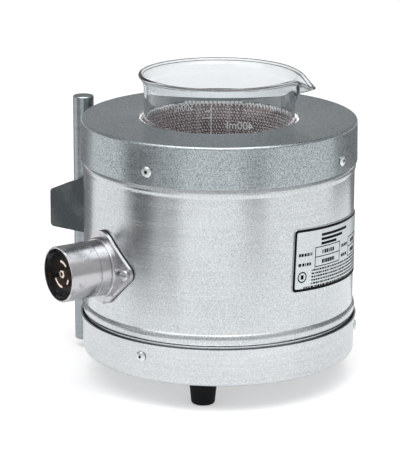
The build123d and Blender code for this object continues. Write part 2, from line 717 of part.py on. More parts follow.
def terminal_block():
    """The moulded block where the leads meet, with a pocket for each screw."""
    length, width, height = BLOCK_SIZE
    block = Box(length, width, height, align=(Align.CENTER, Align.CENTER, Align.MIN))
    pocket = disc(3.0, height - 4, height + 1)
    block -= [Pos(0, y, 0) * pocket for y in terminal_screw_offsets()]
    return terminal_location() * block


def terminal_screw_offsets():
    """The terminal screws' places along the block."""
    return [i * 9.0 for i in (-1.5, -0.5, 0.5, 1.5)]


def terminal_screws():
    """The four brass screws of the terminal block."""
    height = BLOCK_SIZE[2]
    head = disc(2.6, height - 4, height - 1.8) - Pos(0, 0, height - 1.8) * Box(6, 0.7, 1.6)
    return solid_group([terminal_location() * Pos(0, y, 0) * head for y in terminal_screw_offsets()])


def ground_location():
    """The place of the ground screw on the pan's floor."""
    return Rot(0, 0, INLET_ANGLE) * Pos(GROUND_RADIUS, GROUND_SIDE, 0)


def ground_screw():
    """The screw and washer that bond the pan to the ground lead."""
    screw = machine_screw(PAN_BOTTOM_Z, PAN_FLOOR_Z + GROUND_SCREW_RISE)
    return ground_location() * screw


def ground_nut():
    """The nut on the ground screw."""
    return ground_location() * hex_bar(3.5, PAN_FLOOR_Z, PAN_FLOOR_Z + 3.2, M4_R)


def lead(points):
    """One insulated lead: straight runs joined by arcs as large as the runs allow."""
    path_points = [Vector(*p) for p in points]
    radii = []
    for a, b, c in zip(path_points, path_points[1:], path_points[2:]):
        turn = radians((b - a).get_angle(c - b))
        radii.append(0.45 * min((b - a).length, (c - b).length) / tan(turn / 2))
    path = FilletPolyline(*path_points, radius=radii) if radii else Line(*path_points)
    section = Plane(origin=path @ 0, z_dir=path % 0) * Circle(LEAD_R)
    return Rot(0, 0, INLET_ANGLE) * sweep(section, path)


def supply_leads():
    """The three leads from the inlet's blades down to the terminal block."""
    entry_z = PAN_FLOOR_Z + BLOCK_ENTRY_RISE
    block_face = BLOCK_RADIUS + BLOCK_SIZE[0] / 2
    leads = []
    for (angle, _), side in zip(BLADES, (4.2, -5.0, 10.5)):
        x = BLADE_R * cos(radians(angle))
        z = INLET_Z + BLADE_R * sin(radians(angle))
        aside = x + (side - x) * 0.6
        middle_z = (z + entry_z) / 2
        leads.append(lead([
            (BLADE_TAIL, x, z), (DROP_RADIUS + 1.4, x, z), (DROP_RADIUS, aside, z - 5),
            (DROP_RADIUS, side, middle_z), (DROP_RADIUS - 1.5, side, entry_z + 4),
            (DROP_RADIUS - 6, side, entry_z), (block_face, side, entry_z),
        ]))
    return solid_group(leads)


def ground_lead():
    """The lead from the centre pin down to the ground screw."""
    side = GROUND_SIDE
    return lead([
        (BLADE_TAIL, 0, INLET_Z), (DROP_RADIUS + 1.4, 0, INLET_Z), (DROP_RADIUS, side, INLET_Z - 5),
        (DROP_RADIUS, side, 42), (GROUND_RADIUS, side, 31),
        (GROUND_RADIUS, side, PAN_FLOOR_Z + GROUND_SCREW_RISE),
    ])


def heater_lead_locations():
    """The two leads' places under the heating blanket."""
    radius = BLANKET_R + BLANKET_T / 2
    return [polar(radius, INLET_ANGLE + s * 12) for s in (-1, 1)]


def heater_leads():
    """The two leads from the terminal block up to the heating blanket."""
    low = PAN_FLOOR_Z + BLOCK_SIZE[2]
    return solid_group([loc * disc(LEAD_R, low, BLANKET_Z[0]) for loc in heater_lead_locations()])


def motor_lead_planes():
    """The two lead axes in the motor's wall."""
    a = radians(INLET_ANGLE)
    base = radial_plane(INLET_ANGLE, EAR_PLATE_Z + 8)
    side = Vector(-sin(a), cos(a), 0)
    return [Plane(origin=base.origin + side * s, x_dir=base.x_dir, z_dir=base.z_dir) for s in (-5, 5)]


def motor_leads():
    """The two short leads from the terminal block to the motor."""
    inner_face = BLOCK_RADIUS - BLOCK_SIZE[0] / 2
    z = EAR_PLATE_Z + 8
    start = MOTOR_R - 1.5
    leads = []
    for s in (-1, 1):
        leads.append(lead([
            (inner_face, s * 7, z - 3), (inner_face - 6, s * 7, z - 3),
            (start + 5, s * 5, z), (start, s * 5, z),
        ]))
    return solid_group(leads)


NODES = {
    "body_shell": body_shell,
    "base_pan": base_pan,
    "top_cap": top_cap,
    "cap_rivets": lambda: rivets(CAP_RIVET_ANGLES, CAP_RIVET_Z, CAP_R + 0.05),
    "base_rivets": lambda: rivets(PAN_RIVET_ANGLES, PAN_RIVET_Z, PAN_MID_R + 0.2),
    "foot_screws": foot_screws,
    "standoff_posts": standoff_posts,
    "shelf": shelf,
    "shelf_screws": shelf_screws,
    "lead_grommets": lead_grommets,
    "name_plate": name_plate,
    "fabric_well": fabric_well,
    "heating_blanket": heating_blanket,
    "insulation_jacket": insulation_jacket,
    "insulation_pad": insulation_pad,
    "motor_can": motor_can,
    "motor_end_plate": motor_end_plate,
    "motor_stator": motor_stator,
    "motor_rotor": motor_rotor,
    "motor_shaft": motor_shaft,
    "motor_bearings": motor_bearings,
    "motor_mounts": motor_mounts,
    "motor_screws": motor_screws,
    "motor_nuts": motor_nuts,
    "magnet_hub": magnet_hub,
    "hub_set_screw": hub_set_screw,
    "magnet_yoke": magnet_yoke,
    "drive_magnets": drive_magnets,
    "inlet_flange": inlet_flange,
    "inlet_gasket": inlet_gasket,
    "inlet_shell": inlet_shell,
    "inlet_insulator": inlet_insulator,
    "inlet_blades": inlet_blades,
    "inlet_pin": inlet_pin,
    "inlet_screws": inlet_screws,
    "inlet_nuts": inlet_nuts,
    "rod_bracket": rod_bracket,
    "bracket_screws": bracket_screws,
    "support_rod": support_rod,
    "clamp_screw": clamp_screw,
    "terminal_block": terminal_block,
    "terminal_screws": terminal_screws,
    "ground_screw": ground_screw,
    "ground_nut": ground_nut,
    "supply_leads": supply_leads,
    "ground_lead": ground_lead,
    "heater_leads": heater_leads,
    "motor_leads": motor_leads,
    "beaker": beaker,
    "stir_bar_jacket": stir_bar_jacket,
    "stir_bar_core": stir_bar_core,
}
for number, foot_angle in enumerate(FOOT_ANGLES, start=1):
    NODES[f"foot_{number}"] = lambda a=foot_angle: polar(FOOT_CIRCLE_R, a) * foot()

os.makedirs("parts", exist_ok=True)
for node, make in NODES.items():
    export_step(make(), f"parts/{node}.step")
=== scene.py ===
"""Looks of the stirring mantle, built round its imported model.

The housing, inlet, drive and stand keep their modelled shapes and get a finish each. The glass beaker,
the knitted cloth well, the name plate's print and the glass scale are made here. Units are metres, and
the frame is the model's own: +Z up on the housing's axis, with the name plate at -Y.
"""
import json
import logging
import math
import random
from dataclasses import dataclass, field
from enum import Enum

import bmesh
import bpy
from bpy.types import ColorRamp, Material, Mesh, Node, NodeSocket, NodeTree, Object
from mathutils import Matrix, Vector


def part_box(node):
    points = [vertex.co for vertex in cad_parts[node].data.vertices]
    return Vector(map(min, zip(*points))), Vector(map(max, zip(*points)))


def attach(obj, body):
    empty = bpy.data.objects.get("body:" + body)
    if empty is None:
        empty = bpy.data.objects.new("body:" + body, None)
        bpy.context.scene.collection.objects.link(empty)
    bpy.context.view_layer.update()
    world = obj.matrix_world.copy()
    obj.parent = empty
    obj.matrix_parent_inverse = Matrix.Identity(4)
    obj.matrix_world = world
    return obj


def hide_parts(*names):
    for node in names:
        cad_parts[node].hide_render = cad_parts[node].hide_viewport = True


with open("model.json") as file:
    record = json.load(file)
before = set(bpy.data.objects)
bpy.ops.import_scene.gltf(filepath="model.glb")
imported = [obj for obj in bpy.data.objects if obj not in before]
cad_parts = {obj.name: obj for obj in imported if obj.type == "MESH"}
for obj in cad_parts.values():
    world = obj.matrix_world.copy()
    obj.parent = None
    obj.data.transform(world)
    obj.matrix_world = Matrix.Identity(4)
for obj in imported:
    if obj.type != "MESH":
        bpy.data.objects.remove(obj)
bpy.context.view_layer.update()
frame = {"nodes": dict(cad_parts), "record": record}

MM = 0.001
LOG = logging.getLogger("stirring_mantle")
Colour = tuple[float, float, float]
Point2 = tuple[float, float]

# The numbers of the colour sockets on a Mix node, and of the float sockets on a Random Value node.
MIX_SHARE, MIX_FIRST, MIX_SECOND, MIX_RESULT = 0, 6, 7, 2
RANDOM_LOW, RANDOM_HIGH, RANDOM_SEED, RANDOM_RESULT = 2, 3, 8, 1


# ---------------------------------------------------------------- node trees


class Field:
    """A node socket that takes plain arithmetic, where each step adds a Math node."""

    def __init__(self, maker: "NodeMaker", socket: NodeSocket) -> None:
        """Wraps an output socket of the tree that new Math nodes go into."""
        self.maker = maker
        self.socket = socket

    def step(self, operation: str, first: object, second: object = 0.0) -> "Field":
        """The result of one Math node on two values or fields."""
        made = self.maker.node("ShaderNodeMath", {"operation": operation}, {0: first, 1: second})
        return Field(self.maker, made.outputs[0])

    def __add__(self, other: object) -> "Field":
        """The sum with a value or field."""
        return self.step("ADD", self, other)

    def __sub__(self, other: object) -> "Field":
        """The difference from a value or field."""
        return self.step("SUBTRACT", self, other)

    def __rsub__(self, other: object) -> "Field":
        """A value on the left less this field."""
        return self.step("SUBTRACT", other, self)

    def __mul__(self, other: object) -> "Field":
        """The product with a value or field."""
        return self.step("MULTIPLY", self, other)

    def __truediv__(self, other: object) -> "Field":
        """The quotient by a value or field."""
        return self.step("DIVIDE", self, other)

    def __mod__(self, other: object) -> "Field":
        """The remainder after division."""
        return self.step("MODULO", self, other)

    __radd__ = __add__
    __rmul__ = __mul__

    def floored(self) -> "Field":
        """The whole part."""
        return self.step("FLOOR", self)

    def sine(self) -> "Field":
        """The sine of an angle in radians."""
        return self.step("SINE", self)

    def cosine(self) -> "Field":
        """The cosine of an angle in radians."""
        return self.step("COSINE", self)

    def between(self, low: float, high: float) -> "Field":
        """A soft step.

        Args:
            low: The value that gives 0.
            high: The value that gives 1.

        Returns:
            The field after a smooth step from low to high.
        """
        sockets = {"Value": self, "From Min": low, "From Max": high}
        made = self.maker.node("ShaderNodeMapRange", {"interpolation_type": "SMOOTHSTEP"}, sockets)
        return Field(self.maker, made.outputs[0])


class NodeMaker:
    """Adds nodes to a shader tree or a geometry tree."""

    def __init__(self, tree: NodeTree) -> None:
        """Takes the tree to fill."""
        self.tree = tree

    def node(self, kind: str, settings: dict | None = None, sockets: dict | None = None) -> Node:
        """Adds one node.

        Args:
            kind: The node's type.
            settings: Its properties, which are set before the sockets; stops are a colour ramp's.
            sockets: A value, field or output socket for each input, by name or index.

        Returns:
            The new node.
        """
        made = self.tree.nodes.new(kind)
        for key, value in (settings or {}).items():
            if key == "stops":
                self.set_stops(made.color_ramp, value)
            else:
                setattr(made, key, value)
        for key, value in (sockets or {}).items():
            self.feed(made.inputs[key], value)
        return made

    def feed(self, socket: NodeSocket, value: object) -> None:
        """Links a field or socket to an input, or sets a plain value on it."""
        value = value.socket if isinstance(value, Field) else value
        if isinstance(value, NodeSocket):
            self.tree.links.new(value, socket)
        else:
            socket.default_value = value

    def mix(self, share: object, first: object, second: object) -> NodeSocket:
        """A colour between two others.

        Args:
            share: 0 for the first and 1 for the second.
            first: The colour at 0, or a colour socket.
            second: The colour at 1, or a colour socket.

        Returns:
            The mixed colour's socket.
        """
        ends = [(*c, 1.0) if isinstance(c, tuple) else c for c in (first, second)]
        sockets = dict(zip((MIX_SHARE, MIX_FIRST, MIX_SECOND), (share, *ends)))
        return self.node("ShaderNodeMix", {"data_type": "RGBA"}, sockets).outputs[MIX_RESULT]

    @staticmethod
    def set_stops(ramp: ColorRamp, stops: list[tuple[float, Colour]]) -> None:
        """Gives a colour ramp its stops, from left to right."""
        while len(ramp.elements) < len(stops):
            ramp.elements.new(1.0)
        for element, (position, colour) in zip(ramp.elements, stops):
            element.position = position
            element.color = (*colour, 1.0)


class Lay(Enum):
    """The direction that a metal's grain runs in, as the pattern's scale along X, Y and Z."""

    EVEN = (1.0, 1.0, 1.0)
    UPRIGHT = (1.0, 1.0, 0.03)
    ROUND = (0.03, 0.03, 1.0)


class Shader(NodeMaker):
    """A material with one main surface shader, read in object coordinates."""

    def __init__(self, name: str) -> None:
        """Makes an empty material of that name."""
        self.material = bpy.data.materials.new(name)
        self.material.use_nodes = True
        super().__init__(self.material.node_tree)
        self.tree.nodes.clear()
        self.surface = self.node("ShaderNodeBsdfPrincipled")
        self.node("ShaderNodeOutputMaterial", sockets={"Surface": self.surface.outputs[0]})
        self.place = self.node("ShaderNodeTexCoord").outputs["Object"]

    def set(self, **values: object) -> None:
        """Sets the surface shader's sockets, with an underscore for each space in a name."""
        for key, value in values.items():
            value = (*value, 1.0) if isinstance(value, tuple) and len(value) == 3 else value
            self.feed(self.surface.inputs[key.replace("_", " ")], value)

    def noise(self, size: float, detail: float = 2.0, lay: Lay = Lay.EVEN) -> Field:
        """A soft random pattern.

        Args:
            size: The size of its largest features, in metres.
            detail: How many finer layers it has.
            lay: The direction that it is drawn out in.

        Returns:
            A field around one half.
        """
        turned = self.node("ShaderNodeMapping", sockets={"Vector": self.place, "Scale": lay.value})
        sockets = {"Vector": turned.outputs[0], "Scale": 1 / size, "Detail": detail}
        return Field(self, self.node("ShaderNodeTexNoise", sockets=sockets).outputs[0])

    def axis(self, name: str) -> Field:
        """One coordinate of the surface, in metres."""
        parts = self.node("ShaderNodeSeparateXYZ", sockets={0: self.place})
        return Field(self, parts.outputs[name])

    def bump(self, height: Field, depth: float) -> None:
        """Raises the surface by a field, whose full range is depth in metres."""
        made = self.node("ShaderNodeBump", sockets={"Height": height, "Distance": depth})
        self.feed(self.surface.inputs["Normal"], made.outputs[0])


class GeometryTree(NodeMaker):
    """A Geometry Nodes tree with named inputs, which is baked to a plain mesh."""

    def __init__(self, name: str, sizes: dict[str, float | int]) -> None:
        """Makes the tree and its inputs.

        Args:
            name: The tree's name.
            sizes: The value of each named input.
        """
        group = bpy.data.node_groups.new(name, "GeometryNodeTree")
        group.interface.new_socket("Geometry", in_out="OUTPUT", socket_type="NodeSocketGeometry")
        for label, value in sizes.items():
            kind = "NodeSocketInt" if isinstance(value, int) else "NodeSocketFloat"
            group.interface.new_socket(label, in_out="INPUT", socket_type=kind)
        super().__init__(group)
        self.sizes = sizes
        self.entry = self.node("NodeGroupInput")

    def size(self, label: str) -> Field:
        """One named input as a field."""
        return Field(self, self.entry.outputs[label])

    def index(self) -> Field:
        """The number of each point."""
        return Field(self, self.node("GeometryNodeInputIndex").outputs[0])

    def vector(self, x: object, y: object, z: object) -> NodeSocket:
        """A vector from three values or fields."""
        return self.node("ShaderNodeCombineXYZ", sockets={0: x, 1: y, 2: z}).outputs[0]

    def random(self, low: float, high: float, seed: int) -> Field:
        """A random value for each point, from low to high, with a fixed seed."""
        sockets = {RANDOM_LOW: low, RANDOM_HIGH: high, RANDOM_SEED: seed}
        made = self.node("FunctionNodeRandomValue", {"data_type": "FLOAT"}, sockets)
        return Field(self, made.outputs[RANDOM_RESULT])

    def points(self, count: object, position: object) -> NodeSocket:
        """Points at places that depend on their number."""
        return self.node("GeometryNodePoints", sockets={"Count": count, "Position": position}).outputs[0]

    def arch(self, ends: tuple, crown: tuple, steps: int, radius: object, sides: int) -> NodeSocket:
        """A short bowed length of yarn.

        Args:
            ends: The first and last point.
            crown: The control point between them.
            steps: The number of straight stretches.
            radius: The yarn's radius.
            sides: The number of sides of its section.

        Returns:
            The yarn's mesh.
        """
        sockets = {"Resolution": steps, "Start": ends[0], "Middle": crown, "End": ends[1]}
        line = self.node("GeometryNodeCurveQuadraticBezier", sockets=sockets)
        ring = self.node("GeometryNodeCurvePrimitiveCircle", sockets={"Resolution": sides, "Radius": radius})
        sockets = {"Curve": line.outputs[0], "Profile Curve": ring.outputs[0], "Fill Caps": True}
        return self.node("GeometryNodeCurveToMesh", sockets=sockets).outputs[0]

    def scatter(self, points: object, shape: object, rotation: object, scale: object) -> NodeSocket:
        """One copy of a shape at each point, turned and scaled by fields."""
        sockets = {"Points": points, "Instance": shape, "Rotation": rotation, "Scale": scale}
        return self.node("GeometryNodeInstanceOnPoints", sockets=sockets).outputs[0]

    def bake(self, name: str, shape: object, material: Material) -> Object:
        """Ends the tree and turns its result into a plain mesh.

        Args:
            name: The piece's name.
            shape: The geometry to keep.
            material: The finish that it gets.

        Returns:
            The new piece, with no modifier left on it.
        """
        real = self.node("GeometryNodeRealizeInstances", sockets={0: shape})
        sockets = {"Geometry": real.outputs[0], "Material": material}
        coated = self.node("GeometryNodeSetMaterial", sockets=sockets)
        self.node("NodeGroupOutput", sockets={"Geometry": coated.outputs[0]})
        piece = bpy.data.objects.new(name, bpy.data.meshes.new(name + "_seed"))
        bpy.context.scene.collection.objects.link(piece)
        modifier = piece.modifiers.new("maker", "NODES")
        modifier.node_group = self.tree
        for item in self.tree.interface.items_tree:
            if item.in_out == "INPUT":
                modifier[item.identifier] = self.sizes[item.name]
        graph = bpy.context.evaluated_depsgraph_get()
        mesh = bpy.data.meshes.new_from_object(piece.evaluated_get(graph), depsgraph=graph)
        piece.modifiers.remove(modifier)
        piece.data = mesh
        mesh.name = name
        mesh.shade_smooth()
        return piece


# ---------------------------------------------------------------- meshes


def new_piece(name: str, mesh: Mesh, material: Material, smooth: bool) -> Object:
    """Puts a mesh in the scene as a named piece.

    Args:
        name: The piece's name.
        mesh: Its mesh, in place.
        material: Its finish.
        smooth: Whether its faces are shaded smooth.

    Returns:
        The new piece.
    """
    mesh.materials.clear()
    mesh.materials.append(material)
    if smooth:
        mesh.shade_smooth()
    piece = bpy.data.objects.new(name, mesh)
    bpy.context.scene.collection.objects.link(piece)
    return piece


def cleaned(name: str, points: list[Vector], faces: list[tuple[int, ...]]) -> Mesh:
    """A mesh of closed shells, with doubles merged and normals outwards.

    Args:
        name: The mesh's name.
        points: Its vertices.
        faces: Vertex numbers of each face.

    Returns:
        The new mesh.
    """
    mesh = bpy.data.meshes.new(name)
    mesh.from_pydata(points, [], faces)
    shape = bmesh.new()
    shape.from_mesh(mesh)
    bmesh.ops.remove_doubles(shape, verts=shape.verts, dist=1e-7)
    bmesh.ops.recalc_face_normals(shape, faces=shape.faces)
    shape.to_mesh(mesh)
    shape.free()
    return mesh


def polar(radius: float, angle: float) -> Point2:
    """The point at a radius and an angle in radians."""
    return radius * math.cos(angle), radius * math.sin(angle)


def arc(centre: Point2, radius: float, start: float, end: float, steps: int) -> list[Point2]:
    """Points on an arc about a centre, from a start to an end angle in degrees."""
    spokes = [polar(radius, math.radians(start + (end - start) * i / steps)) for i in range(steps + 1)]
    return [(centre[0] + x, centre[1] + y) for x, y in spokes]


@dataclass(frozen=True)
class Wrap:
    """A round wall that flat artwork is bent onto, with its left lower corner as the zero point."""

    radius: float
    angle: float
    height: float
    turn: float = 0.0

    def point(self, u: float, v: float, lift: float) -> Vector:
        """The place of an artwork point.

        Args:
            u: Its distance round the wall.
            v: Its height above the zero point.
            lift: Its height off the wall.

        Returns:
            The point in the row frame.
        """
        c, s = math.cos(self.turn), math.sin(self.turn)
        angle = math.radians(self.angle) + (u * c - v * s) / self.radius
        return Vector((*polar(self.radius + lift, angle), self.height + u * s + v * c))


@dataclass
class Artwork:
    """Thin raised print on a round wall."""

    wrap: Wrap
    thickness: float
    station: float = 2.0 * MM
    ring_steps: int = 40
    corner_steps: int = 5
    side_steps: tuple[int, ...] = (36, 12, 36, 12)
    figure_share: float = 0.7
    points: list[Vector] = field(default_factory=list)
    faces: list[tuple[int, ...]] = field(default_factory=list)

    def strip(self, pairs: list, closed: bool = False) -> None:
        """Adds a band.

        Args:
            pairs: The two edge points (u, v) at each station along it.
            closed: Whether the last station joins the first.
        """
        start = len(self.points)
        for pair in pairs:
            for lift in (0.0, self.thickness):
                self.points += [self.wrap.point(u, v, lift) for u, v in pair]
        count = len(pairs)
        for i in range(count if closed else count - 1):
            a, b = start + 4 * i, start + 4 * ((i + 1) % count)
            for one, two in ((0, 1), (1, 3), (3, 2), (2, 0)):
                self.faces.append((a + one, a + two, b + two, b + one))
        if not closed:
            for a in (start, start + 4 * (count - 1)):
                self.faces.append((a, a + 1, a + 3, a + 2))

    def bar(self, u: float, v: float, length: float, height: float) -> None:
        """Adds a plain bar from its left lower corner."""
        steps = max(1, round(length / self.station))
        stations = [u + length * i / steps for i in range(steps + 1)]
        self.strip([((x, v), (x, v + height)) for x in stations])

    def box(self, u: float, v: float, length: float, height: float, line: float) -> None:
        """Adds the outline of a box in a thin line."""
        for low in (v, v + height - line):
            self.bar(u, low, length, line)
        for left in (u, u + length - line):
            self.bar(left, v + line, line, height - 2 * line)

    def ring(self, u: float, v: float, radius: float, line: float) -> None:
        """Adds a round ring about its centre."""
        rims = [arc((u, v), r, 0, 360, self.ring_steps)[:-1] for r in (radius - line, radius)]
        self.strip(list(zip(*rims)), closed=True)

    def border(self, size: Point2, inset: float, line: float, corner: float) -> None:
        """Adds a rounded border, inset from the plate's edge, with an outer corner radius."""
        rims = [self.rounded(size, inset, corner), self.rounded(size, inset + line, corner - line * 0.6)]
        self.strip(list(zip(*rims)), closed=True)

    def rounded(self, size: Point2, inset: float, corner: float) -> list[Point2]:
        """A rounded rectangle's points.

        Args:
            size: The plate's length and height.
            inset: The rectangle's distance from the plate's edge.
            corner: The radius of its corners.

        Returns:
            The points, with as many along each side whatever the inset.
        """
        low = inset + corner
        right, high = (extent - inset - corner for extent in size)
        centres = ((right, low), (right, high), (low, high), (low, low))
        bends = [
            arc(centre, corner, 90 * (number - 1), 90 * number, self.corner_steps)
            for number, centre in enumerate(centres)
        ]
        points = []
        for number, bend in enumerate(bends):
            side = (number + 1) % len(bends)
            (u, v), (next_u, next_v) = bend[-1], bends[side][0]
            count = self.side_steps[side]
            points += bend
            points += [(u + (next_u - u) * i / count, v + (next_v - v) * i / count) for i in range(1, count)]
        return points

    def words(self, text: str, u: float, v: float, height: float) -> None:
        """Adds plain numerals or a unit.

        Args:
            text: What they say.
            u: The left end.
            v: The foot of the figures.
            height: The height of a figure.
        """
        curve = bpy.data.curves.new("figures", "FONT")
        curve.body = text
        curve.size = height / self.figure_share
        curve.extrude = self.thickness / 2
        curve.resolution_u = 3
        holder = bpy.data.objects.new("figures", curve)
        mesh = bpy.data.meshes.new_from_object(holder)
        start = len(self.points)
        for vertex in mesh.vertices:
            x, y, z = vertex.co
            self.points.append(self.wrap.point(u + x, v + y, z + self.thickness / 2))
        self.faces += [tuple(start + i for i in face.vertices) for face in mesh.polygons]
        bpy.data.objects.remove(holder)

    def piece(self, name: str, material: Material) -> Object:
        """The finished print as a named piece."""
        return new_piece(name, cleaned(name, self.points, self.faces), material, smooth=False)


# ---------------------------------------------------------------- finishes


@dataclass(frozen=True)
class Finish:
    """A surface finish, made into a material once."""

    name: str

    def dress(self, shader: Shader) -> None:
        """Sets the shader's sockets; each kind of finish has its own way."""
        raise NotImplementedError

    def material(self) -> Material:
        """The finish as a material, made the first time that it is asked for."""
        label = "finish_" + self.name
        found = bpy.data.materials.get(label)
        if found:
            return found
        shader = Shader(label)
        self.dress(shader)
        return shader.material


@dataclass(frozen=True)
class SatinMetal(Finish):
    """Bare sheet metal with a fine satin grain, soft clouds and faint drawn streaks."""

    colour: Colour
    roughness: float
    grain: float = 0.0011
    speckle: float = 0.9
    cloud: float = 0.35
    streak: float = 0.25
    lay: Lay = Lay.ROUND
    depth: float = 0.000010
    bare: float = 1.0
    cloud_size: float = 0.045
    streak_size: float = 0.0016
    darkest: float = 0.55
    lightest: float = 1.45

    def dress(self, shader: Shader) -> None:
        """Sets a metal whose tone, roughness and height follow its grain."""
        fine = shader.noise(self.grain, 1.0)
        soft = shader.noise(self.cloud_size, 3.0)
        drawn = shader.noise(self.streak_size, 3.0, self.lay)
        tone = (fine - 0.5) * self.speckle + (soft - 0.5) * self.cloud + (drawn - 0.5) * self.streak + 0.5
        dark = tuple(c * self.darkest for c in self.colour)
        light = tuple(min(1.0, c * self.lightest) for c in self.colour)
        shader.set(
            Base_Color=shader.mix(tone, dark, light),
            Roughness=(soft - 0.5) * 0.16 + (drawn - 0.5) * 0.1 + self.roughness,
            Metallic=self.bare,
        )
        shader.bump(fine + drawn * 0.3, self.depth)


@dataclass(frozen=True)
class PlatedMetal(Finish):
    """Plated or turned metal: smooth, with turning lines and a few dull spots."""

    colour: Colour
    roughness: float
    wear: float = 0.3
    depth: float = 0.000003
    line_size: float = 0.0007
    spot_size: float = 0.006
    dulling: float = 0.62

    def dress(self, shader: Shader) -> None:
        """Sets a bright metal that is duller where it is worn."""
        line = shader.noise(self.line_size, 2.0)
        spot = shader.noise(self.spot_size, 4.0).between(0.52, 0.7)
        dull = tuple(c * self.dulling for c in self.colour)
        shader.set(
            Base_Color=shader.mix(spot * self.wear, self.colour, dull),
            Roughness=spot * self.wear * 0.4 + (line - 0.5) * 0.12 + self.roughness,
            Metallic=1.0,
        )
        shader.bump(line, self.depth)


@dataclass(frozen=True)
class Coating(Finish):
    """Paint, rubber or moulded plastic: one colour with a fine skin and dust in soft random patches."""

    colour: Colour
    roughness: float
    grain: float = 0.0009
    depth: float = 0.00006
    dust: float = 0.25
    coat: float = 0.0
    gloss: float = 0.5
    film_size: float = 0.012
    dust_tone: float = 0.1

    def dress(self, shader: Shader) -> None:
        """Sets a dull or glossy coat with a fine uneven skin."""
        skin = shader.noise(self.grain, 3.0)
        film = shader.noise(self.film_size, 4.0).between(0.45, 0.75)
        pale = tuple(c * 0.6 + self.dust_tone for c in self.colour)
        shader.set(
            Base_Color=shader.mix(film * self.dust, self.colour, pale),
            Roughness=film * 0.12 + (skin - 0.5) * 0.1 + self.roughness,
            Coat_Weight=self.coat,
            Specular_IOR_Level=self.gloss,
        )
        shader.bump(skin, self.depth)


@dataclass(frozen=True)
class Cloth(Finish):
    """Woven or knitted glass cloth: crossing yarns, and between them a darker colour that is partly the
    cloth's own and partly painted shade.
    """

    ground_and_shade: Colour
    yarn: Colour
    pitch: float
    depth: float = 0.0003
    slant: float = 0.7
    stain_size: float = 0.02

    def dress(self, shader: Shader) -> None:
        """Sets a rough cloth whose yarns cross at the pitch."""
        up = (shader.axis("Z") * (math.tau / self.pitch)).sine()
        across = shader.axis("X") + shader.axis("Y") * self.slant
        side = (across * (math.tau / self.pitch)).sine()
        fuzz = shader.noise(self.pitch * 0.5, 3.0)
        weave = up * 0.25 + side * 0.25 + fuzz
        stain = shader.noise(self.stain_size, 4.0).between(0.35, 0.7)
        # The darker colour between the yarns, partly painted shade, takes the stains; the yarns' crowns take
        # the yarn colour.
        tint = shader.mix(stain * 0.5, self.ground_and_shade, tuple(c * 0.55 for c in self.ground_and_shade))
        shader.set(Base_Color=shader.mix(weave.between(0.45, 0.95), tint, self.yarn), Roughness=0.85)
        shader.bump(weave, self.depth)


@dataclass(frozen=True)
class Wool(Finish):
    """Loose fibre: a soft lumpy mass with strands over it."""

    colour: Colour
    strand: float = 0.0012
    lump: float = 0.009
    depth: float = 0.0012

    def dress(self, shader: Shader) -> None:
        """Sets a matt lumpy mass with paler strands, and painted shade at half the colour in its hollows."""
        lump = shader.noise(self.lump, 5.0)
        strand = shader.noise(self.strand, 3.0, Lay.UPRIGHT)
        # painted shade: the fibre is half its colour in the hollows between lumps and strands
        hollow_shade = tuple(c * 0.5 for c in self.colour)
        share = (lump * 0.6 + strand * 0.5).between(0.35, 0.75)
        shader.set(Base_Color=shader.mix(share, hollow_shade, self.colour), Roughness=0.95)
        shader.bump(lump + strand * 0.5, self.depth)


@dataclass(frozen=True)
class Laminations(Finish):
    """Stacked steel sheets seen on edge."""

    colour: Colour
    pitch: float = 0.0007
    gap: Colour = (0.03, 0.03, 0.03)
    rust: Colour = (0.16, 0.09, 0.05)
    rust_size: float = 0.004
    depth: float = 0.0001

    def dress(self, shader: Shader) -> None:
        """Sets thin dark gaps between bright sheets, all across the axis."""
        wave = (shader.axis("Z") * (math.tau / self.pitch)).sine()
        sheet = wave.between(-0.6, 0.4)
        rusty = shader.noise(self.rust_size, 4.0).between(0.55, 0.75)
        bright = shader.mix(rusty * 0.4, self.colour, self.rust)
        shader.set(Base_Color=shader.mix(sheet, self.gap, bright), Roughness=0.5, Metallic=0.8)
        shader.bump(sheet, self.depth)


@dataclass(frozen=True)
class LabGlass(Finish):
    """Clear laboratory glass with a faint cool tint."""

    colour: Colour
    refraction: float = 1.47
    ripple: float = 0.02
    depth: float = 0.00002

    def dress(self, shader: Shader) -> None:
        """Sets clear glass with a very slightly uneven drawn wall."""
        shader.set(Base_Color=self.colour, Roughness=0.0, IOR=self.refraction, Transmission_Weight=1.0)
        shader.bump(shader.noise(self.ripple, 1.0), self.depth)


